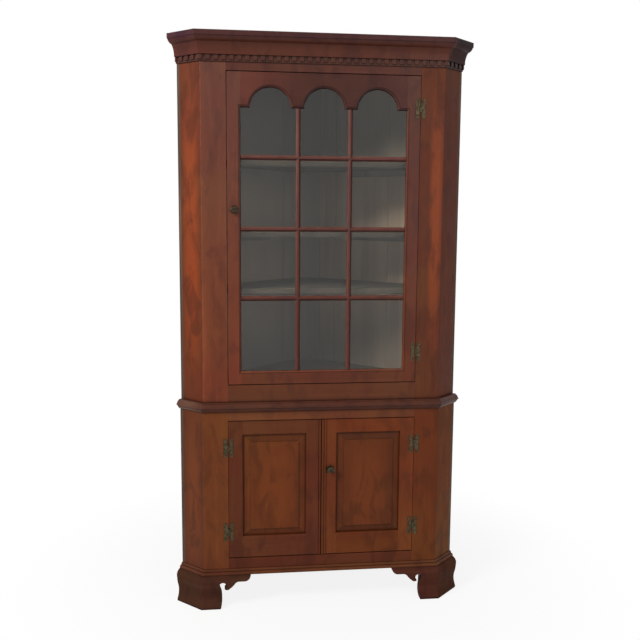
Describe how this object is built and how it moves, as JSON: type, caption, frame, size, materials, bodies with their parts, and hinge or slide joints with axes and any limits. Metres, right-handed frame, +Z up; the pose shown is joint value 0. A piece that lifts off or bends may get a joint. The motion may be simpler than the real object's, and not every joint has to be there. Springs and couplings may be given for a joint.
{
  "type": "corner cabinet",
  "caption": "Two-part corner cupboard with an arched glazed door above, panelled doors below, a dentil cornice and ogee bracket feet.",
  "frame": {"origin": "middle of the bounding box on the floor", "axes": "+Z up, -Y towards the viewer of the doors, +Y into the room corner, +X to the right seen from the front"},
  "size_m": [1.1436, 0.6092, 2.164],
  "materials": {
    "cherry": "aged reddish cherry under a satin varnish",
    "interior_paint": "old grey-green paint, worn",
    "backboard_wood": "unfinished secondary wood, dark with age",
    "glass": "thin old window glass",
    "aged_brass": "dull brown patina",
    "iron": "dark wrought iron"
  },
  "bodies": {
    "cabinet": {"upper_stile_left": "cherry", "upper_stile_right": "cherry", "upper_frieze_rail": "cherry", "upper_sill_rail": "cherry", "upper_return_left": "cherry", "upper_return_right": "cherry", "upper_backboards_left": "backboard_wood", "upper_backboards_right": "backboard_wood", "upper_corner_board": "backboard_wood", "upper_top_board": "backboard_wood", "upper_bottom_board": "interior_paint", "upper_shelf_high": "interior_paint", "upper_shelf_middle": "interior_paint", "upper_shelf_low": "interior_paint", "shelf_cleats": "interior_paint", "cornice_front": "cherry", "cornice_returns": "cherry", "dentil_moulding": "cherry", "waist_moulding": "cherry", "lower_stile_left": "cherry", "lower_stile_right": "cherry", "lower_top_rail": "cherry", "lower_bottom_rail": "cherry", "lower_return_left": "cherry", "lower_return_right": "cherry", "lower_backboards_left": "backboard_wood", "lower_backboards_right": "backboard_wood", "lower_corner_board": "backboard_wood", "lower_top_board": "backboard_wood", "lower_bottom_board": "backboard_wood", "lower_shelf": "backboard_wood", "base_moulding": "cherry", "foot_left": "cherry", "foot_right": "cherry", "rear_foot": "backboard_wood", "foot_blocks": "backboard_wood", "hinge_leaves_case": "aged_brass", "hinge_screws_case": "aged_brass"},
    "glazed_door": {"glazed_door_stiles": "cherry", "glazed_door_arched_rail": "cherry", "glazed_door_bottom_rail": "cherry", "glazed_door_muntins": "cherry", "glass_panes": "glass", "hinge_leaves_glazed_door": "aged_brass", "hinge_screws_glazed_door": "aged_brass"},
    "left_door": {"left_door_stiles": "cherry", "left_door_rails": "cherry", "left_door_panel": "cherry", "hinge_leaves_left_door": "aged_brass", "hinge_screws_left_door": "aged_brass", "bolt_staples": "iron"},
    "right_door": {"right_door_stiles": "cherry", "right_door_rails": "cherry", "right_door_panel": "cherry", "meeting_bead": "cherry", "hinge_leaves_right_door": "aged_brass", "hinge_screws_right_door": "aged_brass"},
    "glazed_turn_knob": {"glazed_door_turn_knob": "aged_brass"},
    "right_turn_knob": {"right_door_turn_knob": "aged_brass"},
    "slide_bolt": {"left_door_bolt": "iron"}
  },
  "joints": [
    {"name": "glazed_door_hinge", "type": "hinge", "parent": "cabinet", "child": "glazed_door", "pos_m": [0.36075, -0.26119, 1.4535], "axis": [0, 0, 1], "range_deg": [0, 145]},
    {"name": "left_door_hinge", "type": "hinge", "parent": "cabinet", "child": "left_door", "pos_m": [-0.36075, -0.26719, 0.4655], "axis": [0, 0, -1], "range_deg": [0, 160]},
    {"name": "right_door_hinge", "type": "hinge", "parent": "cabinet", "child": "right_door", "pos_m": [0.36075, -0.26719, 0.4655], "axis": [0, 0, 1], "range_deg": [0, 160]},
    {"name": "glazed_door_turn", "type": "hinge", "parent": "glazed_door", "child": "glazed_turn_knob", "pos_m": [-0.3334, -0.25759, 1.53379], "axis": [0, 1, 0], "range_deg": [0, 90]},
    {"name": "right_door_turn", "type": "hinge", "parent": "right_door", "child": "right_turn_knob", "pos_m": [0.0324, -0.26359, 0.53878], "axis": [0, 1, 0], "range_deg": [0, 90]},
    {"name": "bolt_slide", "type": "slide", "parent": "left_door", "child": "slide_bolt", "axis": [0, 0, 1], "range_m": [0, 0.016]}
  ]
}
